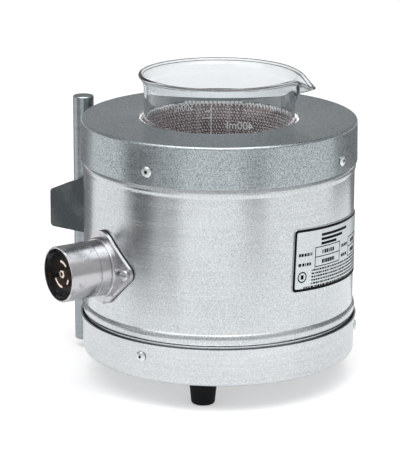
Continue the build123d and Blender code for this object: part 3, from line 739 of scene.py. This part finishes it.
FINISHES: dict[str, Finish] = {
    finish.name: finish
    for finish in (
        SatinMetal("wall_aluminium", (0.515, 0.54, 0.55), 0.25, grain=0.0008, cloud=0.4),
        SatinMetal("pan_aluminium", (0.54, 0.56, 0.57), 0.32, grain=0.0008, speckle=0.8),
        SatinMetal(
            "cap_aluminium", (0.335, 0.372, 0.386), 0.28, grain=0.0007, speckle=2.3, depth=0.000018, bare=0.88
        ),
        SatinMetal("rivet_aluminium", (0.62, 0.65, 0.66), 0.3, grain=0.0006),
        Coating("foot_rubber", (0.003, 0.004, 0.005), 0.6, depth=0.00004, dust=0.02, gloss=0.12),
        PlatedMetal("steel_screws", (0.55, 0.56, 0.57), 0.25),
        PlatedMetal("zinc_steel", (0.55, 0.56, 0.53), 0.33, wear=0.5),
        Coating("seal_rubber", (0.02, 0.02, 0.021), 0.7),
        SatinMetal("plate_aluminium", (0.58, 0.62, 0.63), 0.38, grain=0.0008, speckle=0.4, lay=Lay.EVEN),
        # For each cloth the first colour, between the yarns, is partly painted shade; the second is the
        # yarn's.
        Cloth("glass_cloth", (0.20, 0.125, 0.12), (0.50, 0.39, 0.38), 0.0019),
        Cloth("heater_cloth", (0.44, 0.42, 0.37), (0.72, 0.70, 0.64), 0.0024),
        Wool("glass_wool", (0.78, 0.75, 0.62)),
        Laminations("lamination_steel", (0.42, 0.43, 0.45)),
        PlatedMetal("bronze", (0.52, 0.34, 0.16), 0.35),
        PlatedMetal("inlet_nickel", (0.47, 0.465, 0.48), 0.2, wear=0.7, depth=0.000004),
        Coating("black_phenolic", (0.004, 0.004, 0.004), 0.4, depth=0.00002, dust=0.02, gloss=0.2),
        PlatedMetal("contact_brass", (0.74, 0.62, 0.54), 0.3, wear=0.4),
        Coating("bracket_casting", (0.022, 0.034, 0.038), 0.5, grain=0.0014, depth=0.0012, dust=0.45),
        Coating("lead_black", (0.015, 0.015, 0.016), 0.5, depth=0.00002),
        Coating("lead_green", (0.03, 0.2, 0.06), 0.5, depth=0.00002),
        # Its first colour, between the yarns, is partly painted shade; the second is the yarn's.
        Cloth("lead_sleeving", (0.55, 0.52, 0.44), (0.8, 0.78, 0.7), 0.0008, depth=0.0001),
        SatinMetal("rod_steel", (0.30, 0.335, 0.35), 0.34, speckle=0.3, streak=0.5, depth=0.000006),
        Coating("ferrite", (0.035, 0.035, 0.037), 0.55, depth=0.00004),
        LabGlass("lab_glass", (0.77, 0.795, 0.805)),
        Coating("white_jacket", (0.82, 0.82, 0.80), 0.3, depth=0.00001, dust=0.05, coat=0.1),
    )
}
BLACK_INK = Coating("black_ink", (0.002, 0.002, 0.0025), 0.6, depth=0.00001, dust=0.0, gloss=0.1)
WHITE_ENAMEL = Coating("white_enamel", (0.97, 0.98, 0.97), 0.45, depth=0.00001, dust=0.05)
WHITE_YARN = Coating("white_yarn", (0.93, 0.92, 0.91), 0.8, grain=0.0004, depth=0.00005, dust=0.1)
STITCH_YARN = Coating("stitch_yarn", (0.97, 0.90, 0.89), 0.8, grain=0.0004, depth=0.00005, dust=0.1)


# ---------------------------------------------------------------- sub-assemblies


@dataclass
class ModelledParts:
    """The housing, inlet, stand, drive and wiring, which keep their modelled shapes."""

    def dress(self) -> int:
        """Gives each modelled node the finish of its material slot.

        Returns:
            The number of nodes that were dressed.
        """
        slots = {row["node"]: row["material_slot"] for row in frame["record"]["subparts"]}
        for name, node in frame["nodes"].items():
            material = FINISHES[slots[name]].material()
            if not node.material_slots:
                node.data.materials.append(material)
            for slot in node.material_slots:
                slot.material = material
        return len(slots)


@dataclass
class NamePlate:
    """The print on the name plate: a border, heading bars, boxes, a ring and rows of plain dashes."""

    turn: float = math.radians(-2.46)
    ink: float = 0.04 * MM
    inset: float = 0.15 * MM
    border: float = 1.6 * MM
    corner: float = 2.2 * MM
    heading_place: Point2 = (21.0 * MM, 31.4 * MM)
    heading_lengths: tuple[float, ...] = (28.0 * MM, 22.0 * MM, 15.0 * MM)
    heading_pitch: float = 2.6 * MM
    heading_bar: float = 1.6 * MM
    boxes: tuple[Point2, ...] = ((16.0 * MM, 24.4 * MM), (52.5 * MM, 19.0 * MM))
    box_low: float = 13.5 * MM
    row_height: float = 5.7 * MM
    line: float = 0.55 * MM
    entry_foot: float = 1.7 * MM
    entry: Point2 = (2.3 * MM, 0.8 * MM)
    captions: tuple[Point2, ...] = ((3.6 * MM, 10.6 * MM), (42.5 * MM, 8.5 * MM))
    caption_feet: Point2 = (15.2 * MM, 21.0 * MM)
    caption: Point2 = (1.8 * MM, 1.0 * MM)
    ring_centre: Point2 = (6.7 * MM, 8.7 * MM)
    ring_radius: float = 3.3 * MM
    ring_line: float = 0.75 * MM
    ring_bar: Point2 = (2.0 * MM, 2.6 * MM)
    fine_lefts: tuple[float, ...] = (13.8 * MM,) * 5 + (8.0 * MM,)
    fine_right: float = 72.0 * MM
    fine_top: float = 11.5 * MM
    fine_pitch: float = 1.95 * MM
    fine: Point2 = (1.0 * MM, 0.9 * MM)
    seed: int = 7

    def build(self) -> Object:
        """Makes the print.

        Returns:
            The print.
        """
        art, size = self.blank()
        art.border(size, self.inset, self.border, self.corner)
        self.heading(art)
        for left, length in self.boxes:
            for row in range(2):
                low = self.box_low + row * self.row_height
                art.box(left, low, length, self.row_height + self.line, self.line)
                self.dashes(art, (left + length * 0.25, low + self.entry_foot), length * 0.5, self.entry)
        for left, length in self.captions:
            for low in self.caption_feet:
                self.dashes(art, (left, low), length, self.caption)
        self.badge(art)
        for row, left in enumerate(self.fine_lefts):
            foot = self.fine_top - self.fine_pitch * row
            self.dashes(art, (left, foot), self.fine_right - left, self.fine)
        piece = art.piece("name_plate_print", BLACK_INK.material())
        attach(piece, "housing")
        return piece

    def blank(self) -> tuple[Artwork, Point2]:
        """Finds the plate's face from the model.

        Returns:
            The empty artwork, and the plate's length and height.
        """
        points = [v.co for v in frame["nodes"]["name_plate"].data.vertices]
        radius = max(math.hypot(p.x, p.y) for p in points)
        angles = [math.atan2(p.y, p.x) for p in points]
        low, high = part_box("name_plate")
        length_turned = (max(angles) - min(angles)) * radius
        c, s = math.cos(self.turn), math.sin(abs(self.turn))
        height_turned = high.z - low.z
        span = c * c - s * s
        length = (length_turned * c - height_turned * s) / span
        height = (height_turned * c - length_turned * s) / span
        start = -length / 2 * c + height / 2 * math.sin(self.turn)
        drop = -length / 2 * math.sin(self.turn) - height / 2 * c
        middle = (max(angles) + min(angles)) / 2
        foot = (low.z + high.z) / 2 + drop
        wrap = Wrap(radius, math.degrees(middle + start / radius), foot, self.turn)
        return Artwork(wrap, self.ink), (length, height)

    def heading(self, art: Artwork) -> None:
        """Adds three plain bars of falling length where a maker's heading would stand."""
        left, top = self.heading_place
        for number, length in enumerate(self.heading_lengths):
            art.bar(left, top - self.heading_pitch * number, length, self.heading_bar)

    def badge(self, art: Artwork) -> None:
        """Adds a plain ring with a bar in its middle."""
        (u, v), (width, height) = self.ring_centre, self.ring_bar
        art.ring(u, v, self.ring_radius, self.ring_line)
        art.bar(u - width / 2, v - height / 2, width, height)

    def dashes(self, art: Artwork, place: Point2, length: float, dash_size: Point2) -> None:
        """Adds a row of uneven dashes that stands for print.

        Args:
            art: The artwork.
            place: The left end and the foot of the row.
            length: The row's length.
            dash_size: The dashes' height and their mean length.
        """
        (u, v), (height, mean) = place, dash_size
        chance = random.Random(self.seed + round(v * 1e5) + round(u * 1e4))
        at = u
        while at < u + length - mean:
            dash = mean * chance.uniform(0.6, 2.2)
            art.bar(at, v, min(dash, u + length - at), height)
            at += dash + mean * chance.uniform(0.35, 0.7)


@dataclass
class StirringWell:
    """The knitted glass-cloth cup: its cloth, its rows of stitches and its looped edge."""

    cloth_t: float = 1.5 * MM
    inner: float = 46.55 * MM
    corner: float = 8.0 * MM
    edge_drop: float = 0.8 * MM
    stations: int = 144
    columns: int = 146
    stitch_pitch: float = 1.9 * MM
    stitch_low: float = 77.0 * MM
    stitch_yarn: float = 0.34 * MM
    stitch_root: float = 0.15 * MM
    stitch_half: float = 0.42 * MM
    stitch_rise: float = 0.62 * MM
    stitch_bulge: float = 0.95 * MM
    stitch_lean: float = 1.1
    hem_loops: int = 116
    hem_yarn: float = 0.46 * MM
    hem_root: float = 1.2 * MM
    hem_inside: float = 0.7 * MM
    hem_outside: float = 0.6 * MM
    hem_lean: float = 0.5 * MM
    hem_height: float = 5.2 * MM
    hem_wander: float = 0.15 * MM

    def build(self) -> list[Object]:
        """Makes the cup and its stitches.

        Returns:
            The three pieces.
        """
        low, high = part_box("fabric_well")
        top = high.z - self.edge_drop
        cloth = self.cup(low.z, top)
        knit = self.knit(top)
        hem = self.hem(top)
        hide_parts("fabric_well")
        for piece in (cloth, knit, hem):
            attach(piece, "housing")
        return [cloth, knit, hem]

    def cup(self, low: float, top: float) -> Object:
        """Turns the cloth cup from its closed section.

        Args:
            low: The lowest point.
            top: The height of its edge.

        Returns:
            The cup.
        """
        t, corner = self.cloth_t, self.corner
        bend = (self.inner + t - corner, low + corner)
        outside = [(0.0, low)] + arc(bend, corner, -90, 0, 6)
        edge = arc((self.inner + t / 2, top - t / 2), t / 2, 0, 180, 6)
        inside = arc(bend, corner - t, 0, -90, 6) + [(0.0, low + t)]
        mesh = turned("well_cloth", outside + edge + inside, self.stations)
        return new_piece("well_cloth", mesh, FINISHES["glass_cloth"].material(), smooth=True)

    def knit(self, top: float) -> Object:
        """Sets rows of small stitches on the inside of the cup.

        Args:
            top: The height of its edge.

        Returns:
            All the stitches as one piece.
        """
        rows = int((top - self.stitch_low) / self.stitch_pitch)
        tree = GeometryTree("knit_stitches", {
            "Columns": self.columns, "Rows": rows, "Radius": self.inner, "Low": self.stitch_low,
            "Pitch": self.stitch_pitch, "Yarn radius": self.stitch_yarn,
        })
        columns = tree.size("Columns")
        row = (tree.index() / columns + 0.0001).floored()
        column = tree.index() - row * columns
        angle = (column + (row % 2) * 0.5) * math.tau / columns
        radius = tree.size("Radius")
        height = tree.size("Low") + row * tree.size("Pitch")
        place = tree.vector(radius * angle.cosine(), radius * angle.sine(), height)
        root, half, rise = self.stitch_root, self.stitch_half, self.stitch_rise
        ends = ((root, -half, -rise), (root, half, rise))
        stitch = tree.arch(ends, (-self.stitch_bulge, 0.0, 0.0), 3, tree.size("Yarn radius"), 3)
        lean = ((column % 2) - 0.5) * self.stitch_lean + tree.random(-0.35, 0.35, 3)
        scale = tree.random(0.75, 1.2, 5)
        points = tree.points(columns * tree.size("Rows"), place)
        copies = tree.scatter(points, stitch, tree.vector(lean, 0.0, angle), tree.vector(scale, scale, scale))
        return tree.bake("well_knit", copies, STITCH_YARN.material())

    def hem(self, top: float) -> Object:
        """Sets a row of upright loops along the cup's edge.

        Args:
            top: The height of its edge.

        Returns:
            All the loops as one piece.
        """
        tree = GeometryTree("hem_loops", {
            "Loops": self.hem_loops, "Radius": self.inner + self.cloth_t / 2,
            "Height": top - self.hem_root, "Yarn radius": self.hem_yarn,
        })
        angle = tree.index() * math.tau / tree.size("Loops")
        radius = tree.size("Radius") + tree.random(-self.hem_wander, self.hem_wander, 11)
        place = tree.vector(radius * angle.cosine(), radius * angle.sine(), tree.size("Height"))
        reach = math.tau * self.inner / self.hem_loops * 0.5
        ends = ((-self.hem_inside, -reach, 0.0), (self.hem_outside, reach, 0.0))
        crown = (-self.hem_lean, 0.0, self.hem_height)
        loop = tree.arch(ends, crown, 8, tree.size("Yarn radius"), 5)
        sway = tree.random(-0.18, 0.18, 13)
        scale = tree.random(0.85, 1.1, 17)
        points = tree.points(tree.size("Loops"), place)
        copies = tree.scatter(points, loop, tree.vector(sway, 0.0, angle), tree.vector(1.0, 1.0, scale))
        return tree.bake("well_hem", copies, WHITE_YARN.material())


def turned(name: str, section: list[Point2], around: int, move: object = None) -> Mesh:
    """A closed shell turned about Z.

    Args:
        name: The mesh's name.
        section: Points (radius, height) that start and end on the axis.
        around: The number of stations round the axis.
        move: A function of radius, height and angle that gives the point, or None for a plain turning.

    Returns:
        The mesh, with normals outwards.
    """
    points, faces, rings = [], [], []
    for r, z in section:
        start = len(points)
        if r == 0.0:
            points.append(Vector((0.0, 0.0, z)))
            rings.append([start] * around)
            continue
        for i in range(around):
            angle = math.tau * i / around
            points.append(move(r, z, angle) if move else Vector((*polar(r, angle), z)))
        rings.append(list(range(start, start + around)))
    for low, high in zip(rings, rings[1:]):
        for i in range(around):
            j = (i + 1) % around
            corners = dict.fromkeys((low[i], low[j], high[j], high[i]))
            if len(corners) > 2:
                faces.append(tuple(corners))
    return cleaned(name, points, faces)


@dataclass
class Beaker:
    """The low-form beaker: a blown wall, a rolled rim, a pouring spout and a white scale."""

    radius: float = 45.0 * MM
    wall: float = 1.7 * MM
    corner: float = 9.0 * MM
    flare: float = 9.0 * MM
    rim_radius: float = 48.2 * MM
    bead: float = 1.25 * MM
    spout_angle: float = -68.0
    spout_reach: float = 9.3 * MM
    spout_sink: float = 6.6 * MM
    spout_width: float = 11.0
    spout_point: float = 1.5
    spout_trough: float = 10.0
    spout_fade: float = 15.0 * MM
    foot_kick: Point2 = (0.6 * MM, 0.4 * MM)
    around: int = 288
    enamel: float = 0.05 * MM
    scale_angle: float = 36.5
    scale_line: float = 0.5 * MM
    scale_foot: float = 69.0 * MM
    scale_height: float = 87.0 * MM
    short_marks: tuple[float, ...] = (84.0 * MM, 108.0 * MM, 134.0 * MM)
    long_marks: tuple[float, ...] = (96.0 * MM, 121.0 * MM, 147.4 * MM)
    mark_lengths: Point2 = (3.6 * MM, 5.6 * MM)
    top_mark: tuple[float, float, float] = (0.5 * MM, 151.8 * MM, 3.0 * MM)
    figures: tuple[tuple[str, float, float, float], ...] = (
        ("500ml", 51.0, 153.2 * MM, 4.0 * MM),
        ("400ml", 2.0, 140.8 * MM, 5.0 * MM),
        ("300ml", 2.0, 120.2 * MM, 5.0 * MM),
        ("200ml", 2.0, 100.6 * MM, 5.0 * MM),
    )
    blocks: int = 14
    block_start: float = 11.5
    block_step: float = 3.45
    block_low: float = 158.0 * MM
    block_size: Point2 = (1.9 * MM, 2.2 * MM)

    def __post_init__(self) -> None:
        """Reads the beaker's foot and top from the model."""
        low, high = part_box("beaker")
        self.low = low.z
        self.top = high.z

    def build(self) -> list[Object]:
        """Makes the glass and its scale.

        Returns:
            The two pieces.
        """
        mesh = turned("beaker_glass", self.section(), self.around, self.place)
        glass = new_piece("beaker_glass", mesh, FINISHES["lab_glass"].material(), smooth=True)
        glass.visible_shadow = False
        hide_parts("beaker")
        scale = self.scale()
        for piece in (glass, scale):
            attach(piece, "beaker")
        return [glass, scale]

    def section(self) -> list[Point2]:
        """The glass's section, from the axis below round the rim to the axis above.

        Returns:
            The points as (radius, height).
        """
        r, t, low, top, bead = self.radius, self.wall, self.low, self.top, self.bead
        start = top - self.flare
        bead_r, bead_z = self.rim_radius - bead, top - bead
        kick, half_kick = self.foot_kick
        outside = [(0.0, low + kick), (r * 0.5, low + half_kick)]
        outside += arc((r - self.corner, low + self.corner), self.corner, -90, 0, 9)
        heights = [low + self.corner + (start - low - self.corner) * i / 12 for i in range(1, 12)]
        outside += [(r, height) for height in heights]
        outside += self.swell(r, start, bead_r + bead * 0.75, bead_z - bead * 0.66)
        rim = arc((bead_r, bead_z), bead, -20, 200, 14)
        inside = self.swell(r - t, start, bead_r - bead * 0.98, bead_z - bead * 0.5)[::-1]
        inside += [(r - t, height) for height in reversed(heights)]
        inside += arc((r - self.corner, low + self.corner), self.corner - t, 0, -90, 9)
        inside += [(r * 0.5, low + t + (kick + half_kick) / 2), (0.0, low + t + kick)]
        return outside + rim + inside

    @staticmethod
    def swell(r: float, low: float, out: float, high: float) -> list[Point2]:
        """A flare from a wall's radius and a low height to a radius further out and a high height."""
        shares = [i / 8 for i in range(9)]
        return [(r + (out - r) * s ** 2.2, low + (high - low) * s) for s in shares]

    def place(self, r: float, z: float, angle: float) -> Vector:
        """Draws the rim out into the spout.

        Args:
            r: The point's radius on the plain turning.
            z: Its height.
            angle: Its angle about Z.

        Returns:
            The point's place.
        """
        off = math.degrees((angle - math.radians(self.spout_angle) + math.pi) % math.tau - math.pi)
        lip = math.exp(-abs(off / self.spout_width) ** self.spout_point)
        share = min(1.0, max(0.0, (z - self.top + self.spout_fade) / self.spout_fade))
        share = share * share * (3 - 2 * share)
        r += self.spout_reach * lip * share ** 1.5
        z -= self.spout_sink * math.exp(-(off / self.spout_trough) ** 2) * share
        return Vector((*polar(r, angle), z))

    def scale(self) -> Object:
        """Prints the white scale on the outside of the wall.

        Returns:
            The scale as one piece.
        """
        art = Artwork(Wrap(self.radius, self.scale_angle, 0.0), self.enamel)
        line = self.scale_line
        art.bar(-line / 2, self.scale_foot, line, self.scale_height)
        for marks, length in zip((self.short_marks, self.long_marks), self.mark_lengths):
            for height in marks:
                art.bar(0.0, height, length, line)
        art.bar(*self.top_mark, line)
        for text, angle, foot, height in self.figures:
            art.words(text, self.round_to(angle), foot, height)
        for i in range(self.blocks):
            left = self.round_to(self.block_start + self.block_step * i)
            art.bar(left, self.block_low, *self.block_size)
        return art.piece("beaker_scale", WHITE_ENAMEL.material())

    def round_to(self, angle: float) -> float:
        """The distance round the wall from the scale's line to an angle in degrees."""
        return math.radians(angle - self.scale_angle) * self.radius


# ---------------------------------------------------------------- studio


@dataclass(frozen=True)
class SoftBox:
    """A large soft light, aimed at the object."""

    name: str
    azimuth: float
    elevation: float
    distance: float
    size: tuple[float, float]
    power: float

    def build(self, target: Vector) -> None:
        """Puts the light in the scene, facing the target."""
        light = bpy.data.lights.new(self.name, "AREA")
        light.shape = "RECTANGLE"
        light.size, light.size_y = self.size
        light.energy = self.power
        lamp = bpy.data.objects.new(self.name, light)
        level, rise = polar(self.distance, math.radians(self.elevation))
        place = target + Vector((*polar(level, math.radians(self.azimuth)), rise))
        facing = (target - place).to_track_quat("-Z", "Y").to_matrix().to_4x4()
        lamp.matrix_world = Matrix.Translation(place) @ facing
        bpy.context.scene.collection.objects.link(lamp)


@dataclass(frozen=True)
class Mat:
    """A grey sheet on the bench that only the metal's reflections see, as a studio's dark cards are."""

    name: str
    start: float
    end: float
    inner: float
    outer: float
    tone: float
    fade: float = 0.1
    steps: int = 12
    highest: float = 0.2 * MM

    def build(self) -> None:
        """Lays the mat on the floor, a paler mat over a darker one."""
        shape = bmesh.new()
        height = self.tone * self.highest
        near, far = (arc((0.0, 0.0), r, self.start, self.end, self.steps) for r in (self.inner, self.outer))
        for corners in zip(near, far, far[1:], near[1:]):
            shape.faces.new([shape.verts.new((*corner, height)) for corner in corners])
        mesh = bpy.data.meshes.new(self.name)
        shape.to_mesh(mesh)
        shape.free()
        shader = Shader(self.name)
        east, north = (shader.axis(name) for name in "XY")
        faded = (east * east + north * north).between(self.inner ** 2, (self.inner + self.fade) ** 2)
        shader.set(Base_Color=(self.tone,) * 3, Roughness=0.9, Alpha=faded)
        mat = new_piece(self.name, mesh, shader.material, smooth=False)
        mat.visible_camera = mat.visible_diffuse = mat.visible_shadow = mat.visible_transmission = False


@dataclass
class Studio:
    """A pale floor, a room, soft lights, mats for the metal's reflections and the camera."""

    floor_radius: float = 20.0
    floor_drop: float = 0.2 * MM
    floor_tone: float = 0.62
    floor_glow: float = 0.42
    aim: float = 80.0 * MM
    sky_behind: tuple[tuple[float, float], ...] = ((0.0, 0.26), (0.35, 0.38), (0.7, 0.3))
    sky_before: tuple[tuple[float, float], ...] = ((0.0, 0.6), (0.7, 0.75), (0.86, 3.6))
    bearing: float = -150.0
    distance: float = 1.4655
    height: float = 0.4852
    yaw: float = -0.440
    pitch: float = 15.098
    roll: float = 0.211
    lens: float = 199.7
    sensor: float = 36.0
    lights: tuple[SoftBox, ...] = (
        SoftBox("key_light", -205.0, 52.0, 1.5, (1.0, 1.0), 3.0),
        SoftBox("front_light", -120.0, 60.0, 1.6, (1.2, 0.8), 3.0),
        SoftBox("top_light", -150.0, 86.0, 1.4, (0.9, 0.9), 6.0),
    )
    mats: tuple[Mat, ...] = (
        Mat("mat_behind", -12.0, 84.0, 0.08, 1.2, 0.15, fade=0.04),
        Mat("mat_far_side", 314.0, 348.0, 0.50, 1.2, 0.05),
        Mat("mat_stripe", 138.0, 158.0, 0.28, 1.2, 0.04),
        Mat("mat_stripe_edge", 158.0, 180.0, 0.28, 1.2, 0.42),
        Mat("mat_stripe_far", 130.0, 174.0, 0.46, 1.4, 0.02),
        Mat("mat_front", 229.0, 247.0, 0.46, 1.0, 0.2),
    )

    def build(self) -> None:
        """Makes the whole studio."""
        self.make_floor()
        self.make_room()
        for light in self.lights:
            light.build(Vector((0.0, 0.0, self.aim)))
        for mat in self.mats:
            mat.build()
        self.make_camera()
        bpy.context.scene.view_settings.view_transform = "Standard"

    def make_floor(self) -> None:
        """Lays the pale floor under the feet, with a faint glow that weakens the shadows on it."""
        shape = bmesh.new()
        bmesh.ops.create_circle(shape, cap_ends=True, segments=96, radius=self.floor_radius)
        mesh = bpy.data.meshes.new("floor")
        shape.to_mesh(mesh)
        shape.free()
        mesh.transform(Matrix.Translation((0.0, 0.0, -self.floor_drop)))
        shader = Shader("studio_floor")
        tones = [(self.floor_tone * share,) * 3 for share in (1.0, 0.985)]
        shader.set(Base_Color=shader.mix(shader.noise(0.3), *tones), Roughness=0.9)
        shader.set(Emission_Color=(1.0, 1.0, 1.0), Emission_Strength=self.floor_glow)
        new_piece("floor", mesh, shader.material, smooth=False)

    def make_room(self) -> None:
        """Lights the room, which is bright and brightest overhead on one side, and dim on the other."""
        world = bpy.data.worlds.new("room")
        bpy.context.scene.world = world
        world.use_nodes = True
        world.node_tree.nodes.clear()
        maker = NodeMaker(world.node_tree)
        direction = maker.node("ShaderNodeTexCoord").outputs["Generated"]
        parts = maker.node("ShaderNodeSeparateXYZ", sockets={0: direction})
        east, north = (Field(maker, parts.outputs[name]) for name in "XY")
        x, y = polar(1.0, math.radians(self.bearing))
        before = (east * x + north * y).between(-0.1, 0.2)
        tones = []
        for sky in (self.sky_behind, self.sky_before):
            stops = [(height, (tone, tone, tone * 1.01)) for height, tone in sky]
            ramp = maker.node("ShaderNodeValToRGB", {"stops": stops}, {0: parts.outputs["Z"]})
            tones.append(ramp.outputs[0])
        colour = maker.mix(before, *tones)
        glow = maker.node("ShaderNodeBackground", sockets={"Color": colour, "Strength": 1.0})
        maker.node("ShaderNodeOutputWorld", sockets={"Surface": glow.outputs[0]})

    def make_camera(self) -> None:
        """Sets the camera a little above the bench, looking down on the object."""
        angles = (self.bearing, self.yaw, self.pitch, self.roll)
        bearing, yaw, pitch, roll = (math.radians(angle) for angle in angles)
        overhead = Vector((0.0, 0.0, 1.0))
        level = -Vector((*polar(1.0, bearing), 0.0))
        place = overhead * self.height - level * self.distance
        side = level.cross(overhead)
        ahead = (level * math.cos(yaw) + side * math.sin(yaw)) * math.cos(pitch) - overhead * math.sin(pitch)
        right = side * math.cos(yaw) - level * math.sin(yaw)
        up = right.cross(ahead)
        across = right * math.cos(roll) + up * math.sin(roll)
        upward = up * math.cos(roll) - right * math.sin(roll)
        data = bpy.data.cameras.new("camera")
        data.lens = self.lens
        data.sensor_width = self.sensor
        camera = bpy.data.objects.new("camera", data)
        turn = Matrix((across, upward, -ahead)).transposed()
        camera.matrix_world = Matrix.Translation(place) @ turn.to_4x4()
        bpy.context.scene.collection.objects.link(camera)
        bpy.context.scene.camera = camera


def main() -> None:
    """Builds the studio, then each sub-assembly, and reports every piece."""
    logging.basicConfig(level=logging.INFO, format="%(name)s: %(message)s")
    Studio().build()
    LOG.info("dressed %d modelled nodes", ModelledParts().dress())
    for piece in (NamePlate().build(), *StirringWell().build(), *Beaker().build()):
        LOG.info("%s has %d faces", piece.name, len(piece.data.polygons))


if __name__ == "__main__":
    main()
